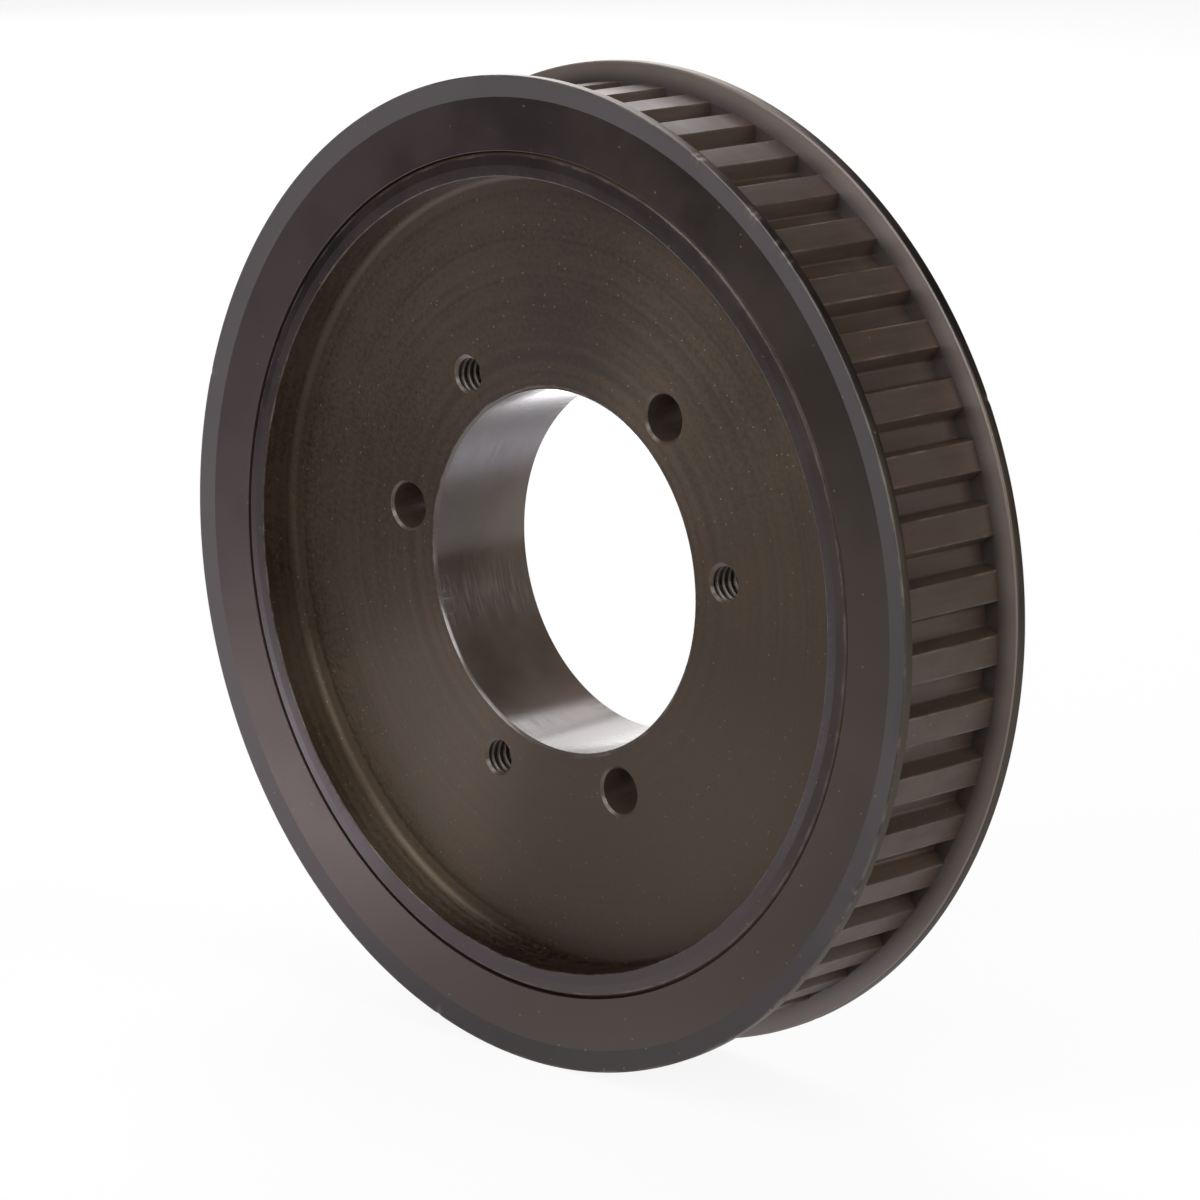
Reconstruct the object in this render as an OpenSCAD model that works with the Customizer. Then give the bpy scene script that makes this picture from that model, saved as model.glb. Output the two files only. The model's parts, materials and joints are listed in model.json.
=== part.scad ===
// Flanged timing belt pulley with a tapered hub seat for a clamping bushing.
// The axis runs along Y, the recessed front faces -Y, and the origin is on the axis, midway across the belt.
// Angles around the axis are clockwise from the top (+Z), as seen from the front.

/* [Belt teeth] */
// Number of teeth around the rim
tooth_count = 48; // [40:1:60]
// Distance from one belt tooth to the next, along the pitch circle
belt_pitch = 9.525; // [9.4:0.025:9.65]
// Height of the pitch circle above the tooth tips
pitch_line_rise = 0.381; // [0.2:0.001:0.6]
// Depth of a groove below the tooth tips
groove_depth = 2.67; // [2.2:0.01:3]
// Width of a groove's floor, measured where its flanks would meet it
groove_floor_w = 3.05; // [2.6:0.01:3.2]
// Lean of a groove's flank away from the radial line, in degrees
flank_angle = 20; // [15:0.5:25]
// Radius between a flank and the groove floor
root_round = 0.5; // [0.2:0.05:0.7]
// Radius along the edge of a tooth tip
tip_round = 0.3; // [0.1:0.05:0.5]
// Angle of one groove around the axis
first_groove_angle = 5.87; // [0:0.01:7.5]

/* [Rim and flanges] */
// Width of the toothed face, between the two flanges
face_w = 21.4; // [18:0.1:40]
// Thickness of each flange
flange_t = 1.8; // [1.5:0.1:2.5]
// Height of the flanges above the tooth tips
flange_height = 3.12; // [2.5:0.01:5]
// Width of the flared band around each flange
flare_w = 3.3; // [2:0.1:4]
// Distance that the flared edge stands away from the belt
flare_rise = 0.45; // [0:0.05:1]
// Radius on a flange's outer corner away from the belt
outer_corner = 0.15; // [0.05:0.05:0.3]
// Radius on a flange's outer corner next to the belt
belt_corner = 0.45; // [0.1:0.05:0.6]
// Depth of the flange seats below the tooth tips
seat_depth = 8.18; // [7:0.01:10]
// Height of the lip above the flat part of the flange next to it
lip_rise = 0.2; // [0:0.05:0.4]
// Width of the lip between the front flange seat and the recess
lip_w = 3.8; // [3.4:0.1:5]
// Width of the lip's outer part, which slopes down towards the flange
lip_slope_w = 1.5; // [1:0.1:2]
// Drop of that slope
lip_slope_drop = 0.25; // [0:0.05:0.4]
// Radial width of the bevel where the lip meets the flange
seam_w = 0.6; // [0.2:0.1:0.8]
// Depth of that bevel
seam_depth = 0.8; // [0.2:0.1:1]

/* [Web] */
// Depth of the round recess in the front
recess_depth = 6.35; // [4:0.05:10]
// Radius between the recess wall and the web
recess_fillet = 1.2; // [0.5:0.1:2]
// Radius on the lip's edge at the recess
recess_edge = 0.2; // [0.1:0.05:0.4]

/* [Hub seat] */
// Diameter of the tapered seat at its large end, in the front of the web
bore_d = 55.56; // [50:0.02:56]
// Diameter that the seat loses per millimetre towards the rear
bore_taper = 0.0625; // [0:0.0005:0.08]
// Chamfer at both ends of the seat
bore_chamfer = 0.4; // [0.1:0.1:0.6]
// Diameter of the circle that all the screw holes lie on
bolt_circle_d = 68.26; // [67:0.02:72]
// Diameter of the drilled clearance holes
drilled_d = 7.14; // [6.5:0.02:8]
// Diameter of the tapped holes before the thread is cut
tap_drill_d = 5.1; // [4.5:0.05:6]
// Number of drilled holes, and of tapped holes
hole_count = 3; // [2:1:3]
// Angle of the first drilled hole
first_drilled_angle = 38.9; // [0:0.1:120]
// Angle from each drilled hole to the tapped hole after it
tapped_offset = 45; // [40:1:60]
// Chamfer at both ends of every screw hole
hole_chamfer = 0.4; // [0.1:0.1:0.6]

/* [Hidden] */

// Fineness of full circles, and steps along a rounded corner
circle_fn = 180;
hole_fn = 64;
corner_steps = 8;

tip_r = tooth_count * belt_pitch / (2 * PI) - pitch_line_rise;
root_r = tip_r - groove_depth;
flange_r = tip_r + flange_height;
flare_r = flange_r - flare_w;
seat_r = tip_r - seat_depth;
recess_r = seat_r - lip_w;

half_face = face_w / 2;
flange_face = half_face + flange_t;
half_w = flange_face + lip_rise;
web_front = -half_w + recess_depth;
web_t = half_w - web_front;

// Cutters run this far past the faces that they open
overrun = 1;

// Stands a shape that was drawn about Z on the pulley's own axis, with Z turned to +Y
module on_axis() {
    rotate([-90, 0, 0]) children();
}

// Puts a shape at a radius and an angle around the axis, for use inside on_axis
module around(radius, angle) {
    rotate([0, 0, angle - 90]) translate([radius, 0, 0]) children();
}

// Points of an arc about a centre, from angle a to angle b
function arc(centre, r, a, b) =
    [for (i = [0 : corner_steps]) centre + r * [
        cos(a + (b - a) * i / corner_steps),
        sin(a + (b - a) * i / corner_steps)]];

// Groove outline in the plane across the axis, with X pointing outwards along its centre line.
// The floor corners are the bulge of two circles, and the tip edges are cut back to two more.
module groove_outline() {
    floor_half = groove_floor_w / 2;
    tip_half = floor_half + groove_depth * tan(flank_angle);
    slant = (90 - flank_angle) / 2;
    root_cut = root_round * tan(slant);
    tip_cut = tip_round * tan(slant);
    flank_x = cos(flank_angle);
    flank_y = sin(flank_angle);
    for (side = [-1, 1]) scale([1, side]) {
        polygon([
            [root_r, 0],
            [root_r, floor_half - root_cut],
            [root_r + root_cut * flank_x, floor_half + root_cut * flank_y],
            [tip_r, tip_half],
            [tip_r + overrun, tip_half],
            [tip_r + overrun, 0]]);
        translate([root_r + root_round, floor_half - root_cut])
            circle(r = root_round, $fn = hole_fn);
        difference() {
            polygon([
                [tip_r - tip_cut * flank_x, tip_half - tip_cut * flank_y],
                [tip_r - tip_round, tip_half + tip_cut],
                [tip_r + overrun, tip_half + tip_cut],
                [tip_r + overrun, tip_half - tip_cut * flank_y]]);
            translate([tip_r - tip_round, tip_half + tip_cut])
                circle(r = tip_round, $fn = hole_fn);
        }
    }
}

// Rim with its belt grooves, before the flange seats are added
module toothed_rim() {
    translate([0, 0, -half_face]) difference() {
        cylinder(h = face_w, r = tip_r, $fn = circle_fn);
        for (i = [0 : tooth_count - 1])
            rotate([0, 0, first_groove_angle - 90 + i * 360 / tooth_count])
                translate([0, 0, -overrun])
                    linear_extrude(face_w + 2 * overrun) groove_outline();
    }
}

// Outline of the seat that carries one flange, its end sloping down to a bevel at the seam.
// X is the radius, and Y is the distance from the mid plane.
module seat_outline() {
    slope_r = seat_r - seam_w;
    crest_r = slope_r - lip_slope_w;
    polygon([
        [0, half_face - overrun],
        [seat_r, half_face - overrun],
        [seat_r, half_w - lip_slope_drop - seam_depth],
        [slope_r, half_w - lip_slope_drop],
        [crest_r, half_w],
        [0, half_w]]);
}

// Hollow of the recess, with its floor corner and its mouth rounded
module recess_outline() {
    mouth = recess_r + recess_edge;
    polygon(concat(
        [[0, web_front]],
        arc([recess_r - recess_fillet, web_front - recess_fillet], recess_fillet, 90, 0),
        arc([mouth, -half_w + recess_edge], recess_edge, 180, 270),
        [[mouth, -half_w - overrun], [0, -half_w - overrun]]));
}

// Tapered seat through the web, chamfered at both ends
module bore_outline() {
    front_r = bore_d / 2;
    rear_r = front_r - web_t * bore_taper / 2;
    opening = overrun + bore_chamfer;
    polygon([
        [0, web_front - overrun],
        [front_r + opening, web_front - overrun],
        [front_r, web_front + bore_chamfer],
        [rear_r, half_w - bore_chamfer],
        [rear_r + opening, half_w + overrun],
        [0, half_w + overrun]]);
}

// One screw hole through the web, with both mouths chamfered
module screw_hole(d) {
    opening = overrun + hole_chamfer;
    translate([0, 0, web_front - overrun])
        cylinder(h = web_t + 2 * overrun, d = d, $fn = hole_fn);
    translate([0, 0, web_front - overrun])
        cylinder(h = opening, r1 = d / 2 + opening, r2 = d / 2, $fn = hole_fn);
    translate([0, 0, half_w - hole_chamfer])
        cylinder(h = opening, r1 = d / 2, r2 = d / 2 + opening, $fn = hole_fn);
}

module screw_holes() {
    for (i = [0 : hole_count - 1]) {
        turn = first_drilled_angle + i * 360 / hole_count;
        around(bolt_circle_d / 2, turn) screw_hole(drilled_d);
        around(bolt_circle_d / 2, turn + tapped_offset) screw_hole(tap_drill_d);
    }
}

// Hub, web, lip and toothed rim, machined from one piece
module toothed_body() {
    color([0.19, 0.17, 0.16]) on_axis() difference() {
        union() {
            toothed_rim();
            rotate_extrude($fn = circle_fn) seat_outline();
            mirror([0, 0, 1]) rotate_extrude($fn = circle_fn) seat_outline();
        }
        rotate_extrude($fn = circle_fn) recess_outline();
        rotate_extrude($fn = circle_fn) bore_outline();
        screw_holes();
    }
}

// Section of a pressed flange: flat over the rim, then flared away from the belt.
// X is the radius, and Y is the distance from the mid plane.
module flange_outline() {
    lean = atan(flare_rise / flare_w);
    belt_turn = 90 - lean;
    outer_turn = 90 + lean;
    belt_reach = belt_corner * tan(belt_turn / 2);
    outer_reach = outer_corner * tan(outer_turn / 2);
    edge_start = half_face + flare_rise;
    edge_end = flange_face + flare_rise;
    polygon(concat(
        [[seat_r, half_face], [flare_r, half_face]],
        arc([flange_r - belt_corner, edge_start + belt_reach], belt_corner, lean - 90, 0),
        arc([flange_r - outer_corner, edge_end - outer_reach], outer_corner, 0, 90 + lean),
        [[flare_r, flange_face], [seat_r, flange_face]]));
}

module front_flange() {
    color([0.24, 0.23, 0.24]) on_axis() mirror([0, 0, 1])
        rotate_extrude($fn = circle_fn) flange_outline();
}

module rear_flange() {
    color([0.22, 0.2, 0.2]) on_axis() rotate_extrude($fn = circle_fn) flange_outline();
}

toothed_body();
front_flange();
rear_flange();
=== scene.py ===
"""Looks of a flanged timing belt pulley: dense turned meshes, blackened steel and soft studio light."""
import json
import math

import bmesh
import bpy
import numpy as np
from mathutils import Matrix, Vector


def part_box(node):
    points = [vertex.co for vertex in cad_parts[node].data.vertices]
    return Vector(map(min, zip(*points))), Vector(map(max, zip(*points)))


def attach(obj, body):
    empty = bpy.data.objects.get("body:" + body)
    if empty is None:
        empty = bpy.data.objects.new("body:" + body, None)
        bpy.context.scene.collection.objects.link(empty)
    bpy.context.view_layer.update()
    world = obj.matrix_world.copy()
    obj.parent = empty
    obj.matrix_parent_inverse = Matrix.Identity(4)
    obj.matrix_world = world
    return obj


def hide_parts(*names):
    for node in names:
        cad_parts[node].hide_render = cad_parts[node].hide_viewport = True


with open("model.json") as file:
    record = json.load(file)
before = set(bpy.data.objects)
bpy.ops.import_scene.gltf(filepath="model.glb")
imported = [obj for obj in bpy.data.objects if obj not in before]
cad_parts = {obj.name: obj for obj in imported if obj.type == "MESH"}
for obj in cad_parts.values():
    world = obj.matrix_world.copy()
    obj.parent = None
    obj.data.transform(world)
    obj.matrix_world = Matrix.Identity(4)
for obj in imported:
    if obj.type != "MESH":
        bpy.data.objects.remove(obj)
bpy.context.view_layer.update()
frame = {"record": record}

scene = bpy.context.scene

# ---------------------------------------------------------------- dimensions, in metres
MM = 0.001
mounts = {mount["name"]: mount for mount in frame["record"]["mounts"]}

TIP_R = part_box("toothed_body")[1].x
FLANGE_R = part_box("front_flange")[1].z
HALF_W = mounts["rear_face"]["pos_m"][1]
WEB_FRONT = mounts["web_front_face"]["pos_m"][1]
HALF_FACE = mounts["belt_face"]["dims"]["length_mm"] * MM / 2
BORE_R = mounts["tapered_seat"]["dims"]["r_mm"] * MM
BOLT_R = mounts["drilled_holes"]["dims"]["pcd_mm"] * MM / 2
DRILLED_R = mounts["drilled_holes"]["dims"]["hole_r_mm"] * MM
TAP_R = mounts["tapped_holes"]["dims"]["hole_r_mm"] * MM
HOLE_COUNT = mounts["drilled_holes"]["dims"]["count"]

TOOTH_COUNT = 48
GROOVE_DEPTH = 2.67 * MM
FLOOR_HALF = 1.525 * MM
FLANK_ANGLE = math.radians(20)
ROOT_ROUND = 0.5 * MM
TIP_ROUND = 0.3 * MM
FIRST_GROOVE = math.radians(5.87)
ROOT_R = TIP_R - GROOVE_DEPTH

FLARE_W = 3.3 * MM
FLARE_RISE = 0.45 * MM
CREASE_ROUND = 0.6 * MM
OUTER_CORNER = 0.2 * MM
BELT_CORNER = 0.45 * MM
LIP_RISE = 0.2 * MM
FLANGE_FACE = HALF_W - LIP_RISE
FLARED_EDGE = FLANGE_FACE + FLARE_RISE
FLARE_R = FLANGE_R - FLARE_W
SEAT_R = TIP_R - 8.18 * MM
SEAT_GAP = 0.02 * MM
LIP_W = 3.8 * MM
LIP_SLOPE_W = 1.5 * MM
LIP_SLOPE_DROP = 0.25 * MM
SEAM_W = 0.6 * MM
SEAM_DEPTH = 0.8 * MM
RECESS_R = SEAT_R - LIP_W
RECESS_FILLET = 1.2 * MM
RECESS_EDGE = 0.2 * MM

BORE_TAPER = 0.0625
BORE_CHAMFER = 0.4 * MM
HOLE_CHAMFER = 0.4 * MM
FIRST_DRILLED = math.radians(38.9)
TAPPED_OFFSET = math.radians(45)

# Unified coarse 1/4-20 thread in the tapped holes
THREAD_PITCH = 1.27 * MM
THREAD_MAJOR_R = 3.175 * MM
THREAD_ROOT_FLAT = THREAD_PITCH / 8
THREAD_FLANK_W = (THREAD_MAJOR_R - TAP_R) * math.tan(math.radians(30))

FULL_TURN = 2 * math.pi

# Fineness of the meshes: steps around, and the longest step along an outline
FLANGE_SEGMENTS = 1440
HOLE_SEGMENTS = 96
THREAD_SEGMENTS = 48
TOOTH_ROWS = 7
BODY_STEP = 4 * MM
FLANGE_STEP = 3 * MM

# Small roundings on turned edges and on a flange's inner edge
TURNED_SOFT = 0.08 * MM
FLANGE_SOFT = 0.12 * MM

# The pilot cutter of a tapped hole is this much smaller than the thread's bore
PILOT_GAP = 0.3 * MM

# ---------------------------------------------------------------- outlines
def spaced(start, end, steps):
    """Evenly spaced values after start, up to and with end."""
    return [start + (end - start) * i / steps for i in range(1, steps + 1)]


def rounded_path(corners):
    """Closed outline through (radius, y, round) corners, with each corner rounded to its own radius."""
    points = []
    for i, (r, y, rounding) in enumerate(corners):
        here = Vector((r, y))
        if rounding == 0:
            points.append((r, y))
            continue
        before = (Vector(corners[i - 1][:2]) - here).normalized()
        after = (Vector(corners[(i + 1) % len(corners)][:2]) - here).normalized()
        half = before.angle(after) / 2
        reach = rounding / math.tan(half)
        centre = here + (before + after).normalized() * (rounding / math.sin(half))
        start, end = here + before * reach - centre, here + after * reach - centre
        sweep = math.atan2(start.x * end.y - start.y * end.x, start.dot(end))
        steps = max(3, min(10, math.ceil(abs(sweep) * (rounding / MM + 1) * 3)))
        for k in range(steps + 1):
            angle = sweep * k / steps
            points.append((
                centre.x + start.x * math.cos(angle) - start.y * math.sin(angle),
                centre.y + start.x * math.sin(angle) + start.y * math.cos(angle)))
    return points


def subdivided(points, longest):
    """The same closed outline, with extra points so that no step is longer than given."""
    result = []
    for i, (r, y) in enumerate(points):
        r2, y2 = points[(i + 1) % len(points)]
        steps = max(1, math.ceil(math.hypot(r2 - r, y2 - y) / longest))
        result += [(r + (r2 - r) * k / steps, y + (y2 - y) * k / steps) for k in range(steps)]
    return result


def groove_to_land():
    """(angle, radius) pairs from a groove's centre line to the middle of the next land."""
    slant = (math.pi / 2 - FLANK_ANGLE) / 2
    root_cut = ROOT_ROUND * math.tan(slant)
    tip_cut = TIP_ROUND * math.tan(slant)
    tip_half = FLOOR_HALF + GROOVE_DEPTH * math.tan(FLANK_ANGLE)
    floor_end = FLOOR_HALF - root_cut
    points = [(ROOT_R, 0.0)] + [(ROOT_R, side) for side in spaced(0, floor_end, 2)]
    centre = (ROOT_R + ROOT_ROUND, floor_end)
    for angle in spaced(math.pi, math.pi / 2 + FLANK_ANGLE, 4):
        points.append((centre[0] + ROOT_ROUND * math.cos(angle), centre[1] + ROOT_ROUND * math.sin(angle)))
    centre = (TIP_R - TIP_ROUND, tip_half + tip_cut)
    tip_arc = [-math.pi / 2 + FLANK_ANGLE] + spaced(-math.pi / 2 + FLANK_ANGLE, 0, 4)
    for angle in tip_arc:
        points.append((centre[0] + TIP_ROUND * math.cos(angle), centre[1] + TIP_ROUND * math.sin(angle)))
    polar = [(math.atan2(side, out), min(math.hypot(out, side), TIP_R)) for out, side in points]
    land_middle = FULL_TURN / TOOTH_COUNT / 2
    return polar + [(angle, TIP_R) for angle in spaced(polar[-1][0], land_middle, 3)]


def rim_outline():
    """Angles and radii all the way round the toothed rim."""
    half = groove_to_land()
    tooth = [(-a, r) for a, r in reversed(half[1:])] + half[:-1]
    pitch = FULL_TURN / TOOTH_COUNT
    angles = [FIRST_GROOVE + pitch * i + a for i in range(TOOTH_COUNT) for a, _ in tooth]
    radii = [r for _ in range(TOOTH_COUNT) for _, r in tooth]
    return np.array(angles), np.array(radii)


# ---------------------------------------------------------------- meshes
def mesh_object(name, verts, faces):
    mesh = bpy.data.meshes.new(name)
    mesh.from_pydata([tuple(v) for v in verts], [], faces)
    mesh.validate()
    obj = bpy.data.objects.new(name, mesh)
    scene.collection.objects.link(obj)
    return obj


def face_outwards(obj):
    bm = bmesh.new()
    bm.from_mesh(obj.data)
    bmesh.ops.recalc_face_normals(bm, faces=bm.faces)
    bm.to_mesh(obj.data)
    bm.free()


def turned(name, rings, angles):
    """Closed surface through rings around the Y axis; each ring is (radius or radii per angle, y)."""
    verts = []
    for radius, y in rings:
        radius = np.broadcast_to(radius, angles.shape)
        verts.append(np.stack(
            [radius * np.sin(angles), np.full_like(angles, y), radius * np.cos(angles)], 1))
    count, rows = len(angles), len(rings)
    faces = [
        (a * count + i, a * count + (i + 1) % count, b * count + (i + 1) % count, b * count + i)
        for a, b in ((row, (row + 1) % rows) for row in range(rows))
        for i in range(count)]
    obj = mesh_object(name, np.concatenate(verts), faces)
    face_outwards(obj)
    return obj


def capped(name, rows, segments):
    """Closed spindle about Z through (radius, z) rows, with a point at each end."""
    verts = [(0, 0, rows[0][1])]
    for r, z in rows:
        for i in range(segments):
            turn = FULL_TURN * i / segments
            verts.append((r * math.cos(turn), r * math.sin(turn), z))
    verts.append((0, 0, rows[-1][1]))
    faces = []
    last = len(verts) - 1
    for i in range(segments):
        j = (i + 1) % segments
        faces.append((0, 1 + j, 1 + i))
        faces.append((last, last - segments + i, last - segments + j))
        for k in range(len(rows) - 1):
            a, b = 1 + k * segments, 1 + (k + 1) * segments
            faces.append((a + i, a + j, b + j, b + i))
    obj = mesh_object(name, verts, faces)
    face_outwards(obj)
    return obj


def thread_cutter(name, start, length, segments):
    """Closed helical screw shape about Z, as wide as the thread, from z = start."""
    profile = [
        (0.0, TAP_R),
        (THREAD_FLANK_W, THREAD_MAJOR_R),
        (THREAD_FLANK_W + THREAD_ROOT_FLAT, THREAD_MAJOR_R),
        (2 * THREAD_FLANK_W + THREAD_ROOT_FLAT, TAP_R)]
    turns = math.ceil(length / THREAD_PITCH)
    total = turns * segments + 1
    verts = []
    for i in range(total):
        turn = FULL_TURN * i / segments
        for rise, r in profile:
            z = start + THREAD_PITCH * i / segments + rise
            verts.append((r * math.cos(turn), r * math.sin(turn), z))
    faces = []
    for i in range(total - 1):
        for k in range(3):
            faces.append((4 * i + k, 4 * i + 4 + k, 4 * i + 5 + k, 4 * i + 1 + k))
        j = i + segments
        if j + 1 < total:
            faces.append((4 * i + 3, 4 * i + 7, 4 * j + 4, 4 * j))
    low = [4 * i for i in range(segments + 1)] + [3, 2, 1]
    first = total - 1 - segments
    high = [4 * i + 3 for i in range(first, total)] + [4 * (total - 1) + k for k in (2, 1, 0)]
    for loop, z in ((low, start - THREAD_PITCH), (high, start + THREAD_PITCH * (turns + 2))):
        verts.append((0, 0, z))
        tip = len(verts) - 1
        faces += [(loop[k], loop[(k + 1) % len(loop)], tip) for k in range(len(loop))]
    obj = mesh_object(name, verts, faces)
    face_outwards(obj)
    return obj


def seat_at(obj, turn):
    """Stands a cutter drawn about Z at a place on the bolt circle, pointing along +Y."""
    obj.rotation_euler = (-math.pi / 2, 0, 0)
    obj.location = (BOLT_R * math.sin(turn), 0, BOLT_R * math.cos(turn))
    return obj


def joined(objects):
    with bpy.context.temp_override(active_object=objects[0], selected_editable_objects=objects):
        bpy.ops.object.join()
    return objects[0]


def cut(obj, cutter):
    """Subtracts the cutter from obj and removes the cutter."""
    modifier = obj.modifiers.new("cut", "BOOLEAN")
    modifier.operation = "DIFFERENCE"
    modifier.solver = "EXACT"
    modifier.object = cutter
    bpy.context.view_layer.update()
    depsgraph = bpy.context.evaluated_depsgraph_get()
    result = bpy.data.meshes.new_from_object(obj.evaluated_get(depsgraph))
    obj.modifiers.clear()
    obj.data = result
    bpy.data.objects.remove(cutter)


def smooth(obj, sharp_degrees=28):
    """Smooth shading that breaks at edges sharper than the limit and keeps flat faces flat."""
    bm = bmesh.new()
    bm.from_mesh(obj.data)
    bmesh.ops.remove_doubles(bm, verts=bm.verts, dist=1e-7)
    limit = math.radians(sharp_degrees)
    for face in bm.faces:
        face.smooth = True
    for edge in bm.edges:
        edge.smooth = len(edge.link_faces) == 2 and edge.calc_face_angle(0) < limit
    bm.to_mesh(obj.data)
    bm.free()
    modifier = obj.modifiers.new("flat faces stay flat", "WEIGHTED_NORMAL")
    modifier.keep_sharp = True
    modifier.weight = 100


# ---------------------------------------------------------------- pieces
def body_rings(radii):
    """Rings of the body, out along the front, across the teeth, and back along the rear."""
    seat_r = SEAT_R - SEAT_GAP
    slope_r = SEAT_R - SEAM_W
    crest_r = slope_r - LIP_SLOPE_W
    rear_bore_r = BORE_R - (HALF_W - WEB_FRONT) * BORE_TAPER / 2
    seam_y = HALF_W - LIP_SLOPE_DROP - SEAM_DEPTH
    slope_y = HALF_W - LIP_SLOPE_DROP
    soft = TURNED_SOFT
    corners = [
        (seat_r, -seam_y, 0), (slope_r, -slope_y, soft), (crest_r, -HALF_W, 2 * soft),
        (RECESS_R, -HALF_W, RECESS_EDGE), (RECESS_R, WEB_FRONT, RECESS_FILLET),
        (BORE_R + BORE_CHAMFER, WEB_FRONT, soft), (BORE_R, WEB_FRONT + BORE_CHAMFER, soft),
        (rear_bore_r, HALF_W - BORE_CHAMFER, soft), (rear_bore_r + BORE_CHAMFER, HALF_W, soft),
        (crest_r, HALF_W, 2 * soft), (slope_r, slope_y, soft), (seat_r, seam_y, 0), (seat_r, HALF_FACE, 0)]
    rings = subdivided(rounded_path(corners), BODY_STEP)
    last = next(i for i, (r, y) in enumerate(rings) if i and (r, y) == (seat_r, HALF_FACE))
    rings = rings[:last + 1]
    rings += [(radii, y) for y in np.linspace(HALF_FACE, -HALF_FACE, TOOTH_ROWS)]
    return rings + [(seat_r, -HALF_FACE)]


def screw_hole_cutters():
    """One cutter for all the holes and their chamfers, and one for all the threads."""
    through = HALF_W - WEB_FRONT
    middle = (HALF_W + WEB_FRONT) / 2
    beyond = 1 * MM
    plain, threaded = [], []
    for i in range(HOLE_COUNT):
        turn = FIRST_DRILLED + FULL_TURN * i / HOLE_COUNT
        for r, pilot, place in ((DRILLED_R, 0, turn), (TAP_R, PILOT_GAP, turn + TAPPED_OFFSET)):
            wide = r + beyond + HOLE_CHAMFER
            depth = HOLE_CHAMFER + pilot
            rows = [
                (wide, WEB_FRONT - beyond), (r - pilot, WEB_FRONT + depth), (r - pilot, middle),
                (r - pilot, HALF_W - depth), (wide, HALF_W + beyond)]
            plain.append(seat_at(capped(f"hole_{len(plain)}", rows, HOLE_SEGMENTS), place))
        start = WEB_FRONT - THREAD_PITCH * 2
        screw = thread_cutter(f"thread_{i}", start, through + THREAD_PITCH * 3, THREAD_SEGMENTS)
        threaded.append(seat_at(screw, turn + TAPPED_OFFSET))
    return joined(plain), joined(threaded)


def make_body():
    angles, radii = rim_outline()
    body = turned("pulley_body", body_rings(radii), angles)
    for cutter in screw_hole_cutters():
        cut(body, cutter)
    smooth(body)
    return body


def flange_corners(side):
    """(radius, y, round) corners of one flange; side is -1 for the front."""
    return [
        (SEAT_R, side * HALF_FACE, 0), (FLARE_R, side * HALF_FACE, CREASE_ROUND),
        (FLANGE_R, side * (HALF_FACE + FLARE_RISE), BELT_CORNER),
        (FLANGE_R, side * FLARED_EDGE, OUTER_CORNER),
        (FLARE_R, side * FLANGE_FACE, CREASE_ROUND), (SEAT_R, side * FLANGE_FACE, FLANGE_SOFT)]


# Dents in a flange's flared edge: angle in degrees, width along the edge, depth
FRONT_DENTS = (
    (26.6, 0.6 * MM, 0.12 * MM), (27.4, 0.8 * MM, 0.16 * MM), (36.2, 0.7 * MM, 0.12 * MM),
    (37.0, 1.0 * MM, 0.20 * MM), (37.8, 0.6 * MM, 0.14 * MM), (41.4, 0.6 * MM, 0.10 * MM),
    (43.0, 0.8 * MM, 0.10 * MM), (44.2, 0.6 * MM, 0.10 * MM), (118.0, 0.8 * MM, 0.10 * MM),
    (196.0, 1.0 * MM, 0.12 * MM), (287.0, 0.8 * MM, 0.10 * MM))
REAR_DENTS = ((64.0, 0.9 * MM, 0.12 * MM), (152.0, 0.8 * MM, 0.12 * MM), (233.0, 1.2 * MM, 0.16 * MM))


def dent_edge(flange, side, dents):
    """Pushes small dents into the flared edge, and marks them with an attribute named bare."""
    mesh = flange.data
    places = np.empty(3 * len(mesh.vertices), np.float32)
    mesh.vertices.foreach_get("co", places)
    places = places.reshape(-1, 3).astype(float)
    radius = np.hypot(places[:, 0], places[:, 2])
    angle = np.arctan2(places[:, 0], places[:, 2])
    from_edge = np.hypot(radius - FLANGE_R, places[:, 1] - side * FLARED_EDGE)
    bare = np.zeros(len(places))
    for degrees, width, depth in dents:
        turn = np.angle(np.exp(1j * (angle - math.radians(degrees)))) * FLANGE_R
        amount = np.exp(-(2 * turn / width) ** 2 - (from_edge / (2 * depth)) ** 2)
        inward = -depth * amount
        places[:, 0] += inward * np.sin(angle)
        places[:, 2] += inward * np.cos(angle)
        places[:, 1] += side * inward / 2
        bare = np.maximum(bare, amount)
    mesh.vertices.foreach_set("co", places.ravel())
    mesh.attributes.new("bare", "FLOAT", "POINT").data.foreach_set("value", bare)
    mesh.update()


def make_flange(name, side, dents):
    angles = np.arange(FLANGE_SEGMENTS) * FULL_TURN / FLANGE_SEGMENTS
    path = subdivided(rounded_path(flange_corners(side)), FLANGE_STEP)
    flange = turned(name, path, angles)
    dent_edge(flange, side, dents)
    smooth(flange)
    return flange


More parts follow.
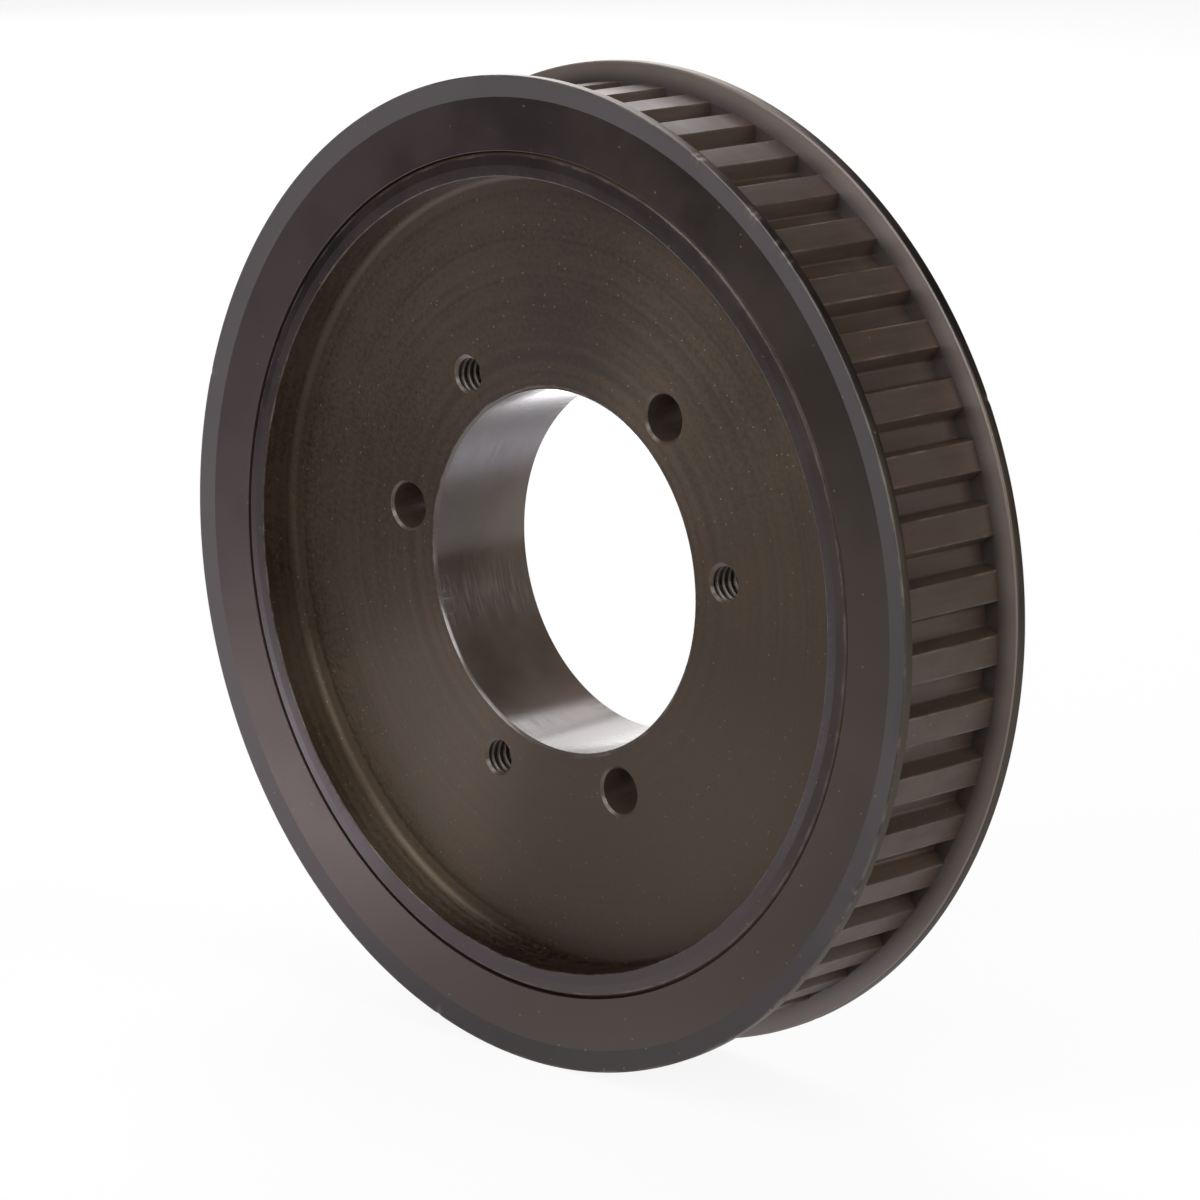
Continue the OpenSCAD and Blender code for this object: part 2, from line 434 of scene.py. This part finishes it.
# ---------------------------------------------------------------- materials
class Graph:
    """A material under construction. Every call adds one node and returns its output socket."""

    def __init__(self, name):
        self.material = bpy.data.materials.new(name)
        self.material.use_nodes = True
        self.tree = self.material.node_tree
        self.tree.nodes.clear()

    def add(self, kind, inputs=None, output=0, **settings):
        node = self.tree.nodes.new("ShaderNode" + kind)
        for key, value in settings.items():
            setattr(node, key, value)
        for key, value in (inputs or {}).items():
            if isinstance(value, bpy.types.NodeSocket):
                self.tree.links.new(value, node.inputs[key])
            else:
                node.inputs[key].default_value = value
        return node.outputs[output] if node.outputs else node

    def math(self, operation, *values):
        return self.add("Math", dict(enumerate(values)), operation=operation)

    def vector(self, x, y, z):
        return self.add("CombineXYZ", {"X": x, "Y": y, "Z": z})

    def noise(self, vector, scale, detail=2.0, roughness=0.5):
        inputs = {"Vector": vector, "Scale": scale, "Detail": detail, "Roughness": roughness}
        return self.add("TexNoise", inputs)

    def ramp(self, value, low, high, out_low=0.0, out_high=1.0):
        """Maps value from low..high to out_low..out_high, held at the ends."""
        inputs = {0: value, 1: low, 2: high, 3: out_low, 4: out_high}
        return self.add("MapRange", inputs, interpolation_type="SMOOTHSTEP")

    def blend(self, factor, a, b):
        """Colour a where factor is 0 and b where it is 1."""
        return self.add("Mix", {0: factor, 6: a, 7: b}, output=2, data_type="RGBA")

    def split(self, vector):
        """The x, y and z of a vector."""
        return self.add("SeparateXYZ", {0: vector}).node.outputs


def turned_coordinates(g):
    """Position, radius, angle and distance along the axis."""
    position = g.add("TexCoord", output=3)
    x, y, z = g.split(position)
    radius = g.math("SQRT", g.math("ADD", g.math("MULTIPLY", x, x), g.math("MULTIPLY", z, z)))
    return position, radius, g.math("ARCTAN2", x, z), y


def colour(r, g, b):
    return (r, g, b, 1.0)


# Lines left by turning run around the axis, and lines left by hobbing run along it
AROUND = 0.25
ALONG = 0.0
# Finish of each zone: diffuse colour, tint of the sheen, index of refraction, roughness, anisotropy and
# its direction
FINISHES = {
    "turned_face": ((0.019, 0.012, 0.008), (1.0, 0.79, 0.58), 2.00, 0.43, 0.88, AROUND),
    "recess_lip": ((0.014, 0.009, 0.009), (1.0, 0.84, 0.82), 2.00, 0.38, 0.45, AROUND),
    "hub_seat": ((0.140, 0.108, 0.088), (1.0, 0.97, 1.0), 2.05, 0.20, 0.55, AROUND),
    "hole_wall": ((0.095, 0.066, 0.050), (1.0, 0.92, 0.86), 2.10, 0.34, 0.30, AROUND),
    "cut_teeth": ((0.062, 0.040, 0.028), (1.0, 0.91, 0.92), 1.96, 0.40, 0.30, ALONG),
    "pressed_flange": ((0.019, 0.013, 0.016), (1.0, 0.82, 0.66), 2.01, 0.36, 0.20, AROUND),
    "flared_band": ((0.056, 0.051, 0.051), (1.0, 0.86, 0.84), 2.05, 0.44, 0.20, AROUND),
    "belt_side": ((0.150, 0.122, 0.108), (1.0, 0.90, 0.92), 2.05, 0.36, 0.20, AROUND),
}
BARE_STEEL = colour(0.32, 0.28, 0.25)
BARE_METALLIC = 0.6
DUST = colour(0.20, 0.14, 0.085)

# Roughness runs this far to either side of a zone's own
ROUGHNESS_SWING = 0.05

# Heights of the bumps
TOOL_LINE_BUMP = 0.004 * MM
GRAIN_BUMP = 0.003 * MM


def finish(g, name, normal, base_tone, rough_tone, bare=0.0, dust=0.0, swing=(0.75, 1.3)):
    """Ends a blackened steel material: tones run from 0 to 1, and so do the bare and the dusty parts."""
    base, tint, ior, roughness, anisotropy, direction = FINISHES[name]
    dark, light = (colour(*(factor * c for c in base)) for factor in swing)
    dusted = g.blend(dust, g.blend(base_tone, dark, light), DUST)
    shader = g.add("BsdfPrincipled", {
        "Base Color": g.blend(bare, dusted, BARE_STEEL), "Specular Tint": colour(*tint), "IOR": ior,
        "Metallic": g.math("MULTIPLY", bare, BARE_METALLIC),
        "Roughness": g.ramp(
            rough_tone, 0.0, 1.0, roughness - ROUGHNESS_SWING, roughness + ROUGHNESS_SWING),
        "Anisotropic": anisotropy, "Anisotropic Rotation": direction,
        "Tangent": g.add("Tangent", direction_type="RADIAL", axis="Y"), "Normal": normal})
    g.add("OutputMaterial", {"Surface": shader})
    return g.material


def bump(g, height, distance, under=None):
    """Normal of a bumpy surface, on top of another normal if one is given."""
    inputs = {"Strength": 1.0, "Distance": distance, "Height": height}
    if under is not None:
        inputs["Normal"] = under
    return g.add("Bump", inputs)


def worn_edges(g, position, radius, y, edges, reach):
    """Patchy wear on the (radius, y) edges of a turned shape, fading out at reach from them."""
    nearest = reach
    for edge_r, edge_y in edges:
        dr = g.math("SUBTRACT", radius, edge_r)
        dy = g.math("SUBTRACT", y, edge_y)
        away = g.math("SQRT", g.math("ADD", g.math("MULTIPLY", dr, dr), g.math("MULTIPLY", dy, dy)))
        nearest = g.math("MINIMUM", nearest, away)
    patches = g.ramp(g.noise(position, 260.0, 3.0, 0.6), 0.42, 0.68)
    return g.math("MULTIPLY", g.ramp(nearest, reach, 0.2 * reach), patches)


def dust_specks(g, position, cells_per_metre, share):
    """Tiny round specks, in the given share of the cells."""
    away = g.add("TexVoronoi", {"Vector": position, "Scale": cells_per_metre})
    draw = g.add("SeparateColor", {0: away.node.outputs["Color"]})
    chosen = g.math("GREATER_THAN", draw, 1.0 - share)
    return g.math("MULTIPLY", g.ramp(away, 0.15, 0.07), chosen)


def turned_face():
    g = Graph("blackened_turned_face")
    position, radius, _, y = turned_coordinates(g)
    across = g.vector(radius, y, 0.0)
    tool_lines = g.noise(across, 3200.0, 2.0, 0.6)
    rings = g.noise(across, 620.0, 3.0, 0.55)
    cloud = g.noise(position, 38.0, 4.0, 0.6)
    patches = g.noise(position, 16.0, 2.0, 0.5)
    grain = g.noise(position, 2600.0, 2.0, 0.5)
    ring_part = g.math("MULTIPLY", g.math("SUBTRACT", rings, 0.5), g.ramp(patches, 0.35, 0.65, 0.6, 2.8))
    fleck = g.math("MULTIPLY", g.math("SUBTRACT", g.noise(position, 1400.0, 3.0, 0.7), 0.5), 1.6)
    tone = g.ramp(g.math("ADD", g.math("ADD", ring_part, fleck), cloud), 0.1, 0.9)
    normal = bump(g, tool_lines, TOOL_LINE_BUMP, bump(g, grain, 0.004 * MM))
    edges = [
        (RECESS_R, -HALF_W), (BORE_R + BORE_CHAMFER, WEB_FRONT), (BORE_R, WEB_FRONT + BORE_CHAMFER),
        (SEAT_R - SEAM_W, HALF_W - LIP_SLOPE_DROP)]
    bare = g.math("MULTIPLY", worn_edges(g, position, radius, y, edges, 0.35 * MM), 0.5)
    dust = dust_specks(g, position, 900.0, 0.34)
    return finish(g, "turned_face", normal, tone, tone, bare, dust, (0.2, 2.2))


def recess_lip():
    g = Graph("blackened_recess_lip")
    position, radius, _, y = turned_coordinates(g)
    across = g.vector(radius, y, 0.0)
    tool_lines = g.noise(across, 3200.0, 2.0, 0.6)
    cloud = g.noise(position, 60.0, 4.0, 0.6)
    normal = bump(g, tool_lines, TOOL_LINE_BUMP, bump(g, g.noise(position, 2600.0), GRAIN_BUMP))
    edges = [(RECESS_R, -HALF_W), (SEAT_R - SEAM_W, LIP_SLOPE_DROP - HALF_W)]
    bare = g.math("MULTIPLY", worn_edges(g, position, radius, y, edges, 0.35 * MM), 0.35)
    tone = g.ramp(cloud, 0.3, 0.7)
    # Dust colour laid over the seam, partly as dust and partly as painted light that lifts the seam's shade.
    seam_r = SEAT_R - SEAM_W
    seam_dust_and_painted_light = g.ramp(radius, seam_r - 0.1 * MM, seam_r + 0.1 * MM, 0.0, 0.35)
    dust = g.math("MAXIMUM", dust_specks(g, position, 800.0, 0.12), seam_dust_and_painted_light)
    return finish(g, "recess_lip", normal, tone, tone, bare, dust)


def hub_seat():
    g = Graph("ground_hub_seat")
    position, radius, angle, y = turned_coordinates(g)
    along = g.vector(g.math("MULTIPLY", angle, 0.002), y, 0.0)
    lines = g.noise(along, 2600.0, 3.0, 0.6)
    cloud = g.noise(position, 60.0, 3.0, 0.5)
    edges = [(BORE_R, WEB_FRONT + BORE_CHAMFER), (BORE_R + BORE_CHAMFER, WEB_FRONT)]
    bare = g.math("MULTIPLY", worn_edges(g, position, radius, y, edges, 0.3 * MM), 0.3)
    tone = g.ramp(cloud, 0.3, 0.7)
    return finish(g, "hub_seat", bump(g, lines, 0.001 * MM), tone, g.ramp(lines, 0.3, 0.7), bare)


def hole_wall():
    g = Graph("drilled_hole_wall")
    grain = g.noise(g.add("TexCoord", output=3), 1500.0, 2.0, 0.5)
    return finish(g, "hole_wall", bump(g, grain, GRAIN_BUMP), grain, grain)


# Added to a count of pitches: makes it positive, and puts a groove's centre line at one half
POSITIVE_TURN = 100.5


def tooth_edges(g, radius, angle):
    """1 along the edges of the lands, falling to 0 a quarter of a millimetre away."""
    pitch = FULL_TURN / TOOTH_COUNT
    pitches = g.math("DIVIDE", g.math("SUBTRACT", angle, FIRST_GROOVE), pitch)
    turn = g.math("FRACT", g.math("ADD", pitches, POSITIVE_TURN))
    side = g.math("MULTIPLY", g.math("ABSOLUTE", g.math("SUBTRACT", turn, 0.5)), pitch * TIP_R)
    land_edge = FLOOR_HALF + GROOVE_DEPTH * math.tan(FLANK_ANGLE) + TIP_ROUND / 3
    away = g.math("ABSOLUTE", g.math("SUBTRACT", side, land_edge))
    high = g.ramp(radius, TIP_R - 0.5 * MM, TIP_R - 0.2 * MM)
    return g.math("MULTIPLY", g.ramp(away, 0.25 * MM, 0.05 * MM), high)


def cut_teeth():
    g = Graph("blackened_cut_teeth")
    position, radius, angle, y = turned_coordinates(g)
    around = g.vector(g.math("MULTIPLY", angle, TIP_R), radius, g.math("MULTIPLY", y, 0.04))
    cutter_lines = g.noise(around, 2200.0, 2.0, 0.5)
    cloud = g.noise(position, 120.0, 4.0, 0.6)
    grain = g.noise(position, 1800.0, 2.0, 0.5)
    normal = bump(g, cutter_lines, TOOL_LINE_BUMP, bump(g, grain, 0.005 * MM))
    patches = g.ramp(g.noise(position, 180.0, 3.0, 0.6), 0.40, 0.70)
    bare = g.math("MULTIPLY", g.math("MULTIPLY", tooth_edges(g, radius, angle), patches), 0.45)
    tone = g.ramp(g.math("ADD", cloud, g.math("MULTIPLY", cutter_lines, 0.5)), 0.5, 1.0)
    dust = dust_specks(g, position, 700.0, 0.10)
    return finish(g, "cut_teeth", normal, tone, g.ramp(cloud, 0.7, 0.3), bare, dust)


def flange_zone(zone, name, tone_of, swing):
    """One zone of a flange; tone_of gives the base colour's tone, painted light included, from the position,
    radius and cloud.
    """
    g = Graph(name)
    position, radius, _, y = turned_coordinates(g)
    cloud = g.ramp(g.noise(position, 40.0, 4.0, 0.6), 0.3, 0.7)
    rings = g.noise(g.vector(radius, y, 0.0), 1500.0, 2.0, 0.5)
    grain = g.noise(position, 2200.0, 2.0, 0.5)
    normal = bump(g, rings, 0.0015 * MM, bump(g, grain, GRAIN_BUMP))
    edge = worn_edges(g, position, radius, g.math("ABSOLUTE", y), [(FLANGE_R, FLARED_EDGE)], 0.5 * MM)
    dents = g.add("Attribute", output=2, attribute_name="bare")
    bare = g.math("MAXIMUM", g.math("MULTIPLY", edge, 0.4), dents)
    specks = dust_specks(g, position, 700.0, 0.10)
    return finish(g, zone, normal, tone_of(g, position, radius, cloud), cloud, bare, specks, swing)


def clouded(g, tone, cloud, strength):
    """The tone with a little of the cloud added, evenly up and down."""
    return g.math("ADD", tone, g.math("MULTIPLY", g.math("SUBTRACT", cloud, 0.5), strength))


def painted_reflection_left(g, position, radius, cloud):
    """Painted reflection: the base colour is palest at the left, seen from the front."""
    return clouded(g, g.ramp(g.split(position)[0], 0.08, -0.08), cloud, 0.3)


def painted_reflection_up_left(g, position, radius, cloud):
    """Painted reflection: the base colour is palest at the upper left and darkest at the lower right, seen
    from the front.
    """
    down_right = (0.6, 0.0, -0.8)
    lean = g.add("VectorMath", {0: position, 1: down_right}, output=1, operation="DOT_PRODUCT")
    return clouded(g, g.ramp(lean, 0.065, -0.05), cloud, 0.15)


def painted_shade_and_highlight_outwards(g, position, radius, cloud):
    """Painted shade near the teeth and a painted highlight towards the outer edge: the base colour grows
    paler outwards.
    """
    return clouded(g, g.ramp(radius, TIP_R - 0.5 * MM, FLANGE_R - 0.5 * MM), cloud, 0.15)


# Material slots of the body and of a flange
TURNED, TEETH, HOLES, SEAT, LIP = range(5)
FLAT, BAND, BELT_SIDE = range(3)


def body_zone(centre, normal):
    """Index into the body's material slots for a face at a place."""
    radius = math.hypot(centre.x, centre.z)
    if radius > SEAT_R + 1 * MM:
        return TEETH
    if radius > RECESS_R + 0.1 * MM and centre.y < 0:
        return LIP
    for i in range(HOLE_COUNT):
        for offset, r in ((0, DRILLED_R), (TAPPED_OFFSET, THREAD_MAJOR_R)):
            turn = FIRST_DRILLED + FULL_TURN * i / HOLE_COUNT + offset
            away = math.hypot(centre.x - BOLT_R * math.sin(turn), centre.z - BOLT_R * math.cos(turn))
            between_faces = WEB_FRONT + 0.001 * MM < centre.y < HALF_W - 0.001 * MM
            if away < r + HOLE_CHAMFER + 0.01 * MM and between_faces:
                return HOLES
    if radius < BORE_R + BORE_CHAMFER + 0.05 * MM and abs(normal.y) < 0.9:
        return SEAT
    return TURNED


def flange_slot(centre, normal, side):
    """Index into a flange's material slots for a face at a place."""
    if normal.y * side < -0.5:
        return BELT_SIDE
    if normal.y * side > 0.5 and math.hypot(centre.x, centre.z) > FLARE_R:
        return BAND
    return FLAT


def paint(piece, materials, slot_of):
    """Gives a piece its materials, and each face the slot that slot_of picks."""
    piece.data.materials.clear()
    for material in materials:
        piece.data.materials.append(material)
    for face in piece.data.polygons:
        face.material_index = slot_of(face.center, face.normal)


# ---------------------------------------------------------------- build
body = make_body()
front = make_flange("flange_front", -1, FRONT_DENTS)
rear = make_flange("flange_rear", 1, REAR_DENTS)
for piece, node, slot in (
        (body, "toothed_body", "body_steel"),
        (front, "front_flange", "flange_steel"),
        (rear, "rear_flange", "flange_steel")):
    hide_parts(node)
    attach(piece, "root")

paint(body, (turned_face(), cut_teeth(), hole_wall(), hub_seat(), recess_lip()), body_zone)
# Each flange zone's tone holds painted light: a painted reflection on the flat face and on the band, and
# painted shade with a painted highlight on the belt side.
flange_materials = (
    flange_zone("pressed_flange", "blackened_pressed_flange", painted_reflection_left, (0.2, 2.4)),
    flange_zone("flared_band", "deburred_flared_band", painted_reflection_up_left, (0.1, 1.5)),
    flange_zone("belt_side", "blackened_belt_side", painted_shade_and_highlight_outwards, (0.35, 1.5)))
for piece, side in ((front, -1), (rear, 1)):
    paint(piece, flange_materials, lambda centre, normal: flange_slot(centre, normal, side))

# ---------------------------------------------------------------- camera
VIEW_AZIMUTH = 45.855
VIEW_ELEVATION = 12.628
VIEW_DISTANCE = 818.4 * MM
SENSOR_W = 36
FOCAL_LENGTH = 163.9
FRONT_EDGE_CENTRE = Vector((0, -FLARED_EDGE, 0))
AIM = Vector((14.93 * MM, -FLARED_EDGE, -0.80 * MM))


def toward(azimuth, elevation):
    """Direction at angles in degrees; azimuth 0 is the front and 90 the right."""
    a, e = math.radians(azimuth), math.radians(elevation)
    return Vector((math.sin(a) * math.cos(e), -math.cos(a) * math.cos(e), math.sin(e)))


camera = bpy.data.objects.new("camera", bpy.data.cameras.new("camera"))
scene.collection.objects.link(camera)
scene.camera = camera
camera.data.sensor_width = SENSOR_W
camera.data.lens = FOCAL_LENGTH
camera.location = FRONT_EDGE_CENTRE + VIEW_DISTANCE * toward(VIEW_AZIMUTH, VIEW_ELEVATION)
camera.rotation_euler = (AIM - camera.location).to_track_quat("-Z", "Y").to_euler()

# ---------------------------------------------------------------- studio
NEUTRAL = (1.0, 1.0, 1.0)
COOL = (0.98, 0.96, 1.08)
WARM = (1.02, 1.0, 0.94)

AMBIENT = 0.02
BACKDROP_WHITE = 0.985
TABLE_WHITE = 0.90
TABLE_SHADING = 0.12
TABLE_REACH = 4.0

# Eleven of the eighteen radiances in the two tables are rounded results of a least-squares fit of the
# lights to the photograph. They are left_bank, left_high, right_bank, front_mid, overhead, glow_far_left,
# glow_right, glow_far_right, glow_far_front, glow_back and glow_under. The others were set one by one.

# Softboxes: azimuth and elevation in degrees, distance, radius, radiance, colour
SOFTBOXES = {
    "left_bank": (232, 18, 1.3, 0.42, 2.3, NEUTRAL),
    "left_high": (232, 52, 1.3, 0.48, 2.7, NEUTRAL),
    "right_bank": (100, 20, 1.3, 0.48, 2.7, WARM),
    "right_front": (26, 24, 1.3, 0.30, 3.5, NEUTRAL),
    "front_top": (348, 38, 1.3, 0.42, 2.5, NEUTRAL),
    "front_mid": (2, 15, 1.3, 0.18, 1.1, NEUTRAL),
    "overhead": (20, 78, 1.3, 0.45, 1.6, NEUTRAL),
}
# Glowing spots of the translucent table: x, y, spread, radiance, colour
TABLE_GLOWS = {
    "glow_left": (-0.20, 0.01, 0.08, 1.0, COOL),
    "glow_far_left": (-0.40, 0.25, 0.22, 1.3, COOL),
    "glow_right": (0.20, 0.01, 0.10, 0.45, WARM),
    "glow_far_right": (0.55, 0.0, 0.22, 0.65, WARM),
    "glow_front_left": (-0.14, -0.13, 0.06, 1.25, COOL),
    "glow_far_front": (0.15, -0.85, 0.28, 1.8, WARM),
    "glow_back": (0.15, 0.42, 0.15, 0.45, NEUTRAL),
    "glow_under": (0.03, -0.03, 0.04, 0.4, NEUTRAL),
    "glow_behind_left": (-0.155, 0.175, 0.050, 9.0, NEUTRAL),
    "glow_behind": (0.0, 0.085, 0.02, 0.9, COOL),
    "glow_front_far_left": (-0.45, -0.34, 0.09, 0.3, COOL),
}


def add_softbox(name, azimuth, elevation, distance, radius, radiance, tint):
    """A round lamp that faces the pulley and that the camera doesn't see."""
    lamp = bpy.data.lights.new(name, "AREA")
    lamp.shape = "DISK"
    lamp.size = 2 * radius
    lamp.energy = math.pi ** 2 * radius ** 2 * radiance
    lamp.color = tint
    obj = bpy.data.objects.new(name, lamp)
    scene.collection.objects.link(obj)
    direction = toward(azimuth, elevation)
    obj.location = direction * distance
    obj.rotation_euler = (-direction).to_track_quat("-Z", "Y").to_euler()
    obj.visible_camera = False


def glow(g, position, x, y, spread, radiance):
    """A soft round spot on the table, as a radiance."""
    here_x, here_y, _ = g.split(position)
    dx = g.math("SUBTRACT", here_x, x)
    dy = g.math("SUBTRACT", here_y, y)
    square = g.math("ADD", g.math("MULTIPLY", dx, dx), g.math("MULTIPLY", dy, dy))
    fall = g.math("EXPONENT", g.math("MULTIPLY", square, -0.5 / spread ** 2))
    return g.math("MULTIPLY", fall, radiance)


def make_table():
    """The floor: plain white to the camera, and a set of soft glows to everything else."""
    corners = [(x * TABLE_REACH, y * TABLE_REACH, -FLANGE_R) for x, y in ((-1, -1), (1, -1), (1, 1), (-1, 1))]
    table = mesh_object("table", corners, [(0, 1, 2, 3)])
    g = Graph("lit_white_table")
    position = g.add("TexCoord", output=3)
    lit = None
    for *spot, tint in TABLE_GLOWS.values():
        one = g.add("Emission", {"Color": colour(*tint), "Strength": glow(g, position, *spot)})
        lit = one if lit is None else g.add("AddShader", {0: lit, 1: one})
    seen = g.add("AddShader", {
        0: g.add("BsdfDiffuse", {"Color": colour(*(3 * (TABLE_SHADING,)))}),
        1: g.add("Emission", {"Color": colour(*(3 * (TABLE_WHITE,)))})})
    camera_ray = g.add("LightPath")
    g.add("OutputMaterial", {"Surface": g.add("MixShader", {0: camera_ray, 1: lit, 2: seen})})
    table.data.materials.append(g.material)


def make_world():
    """A white backdrop to the camera, and faint even light to everything else."""
    world = bpy.data.worlds.new("studio")
    scene.world = world
    world.use_nodes = True
    tree = world.node_tree
    tree.nodes.clear()
    path = tree.nodes.new("ShaderNodeLightPath")
    seen = tree.nodes.new("ShaderNodeBackground")
    seen.inputs["Color"].default_value = colour(BACKDROP_WHITE, BACKDROP_WHITE, BACKDROP_WHITE)
    dim = tree.nodes.new("ShaderNodeBackground")
    dim.inputs["Color"].default_value = colour(AMBIENT, AMBIENT, AMBIENT)
    mix = tree.nodes.new("ShaderNodeMixShader")
    output = tree.nodes.new("ShaderNodeOutputWorld")
    tree.links.new(path.outputs["Is Camera Ray"], mix.inputs[0])
    tree.links.new(dim.outputs[0], mix.inputs[1])
    tree.links.new(seen.outputs[0], mix.inputs[2])
    tree.links.new(mix.outputs[0], output.inputs[0])


make_world()
make_table()
for name, values in SOFTBOXES.items():
    add_softbox(name, *values)
scene.view_settings.view_transform = "Standard"
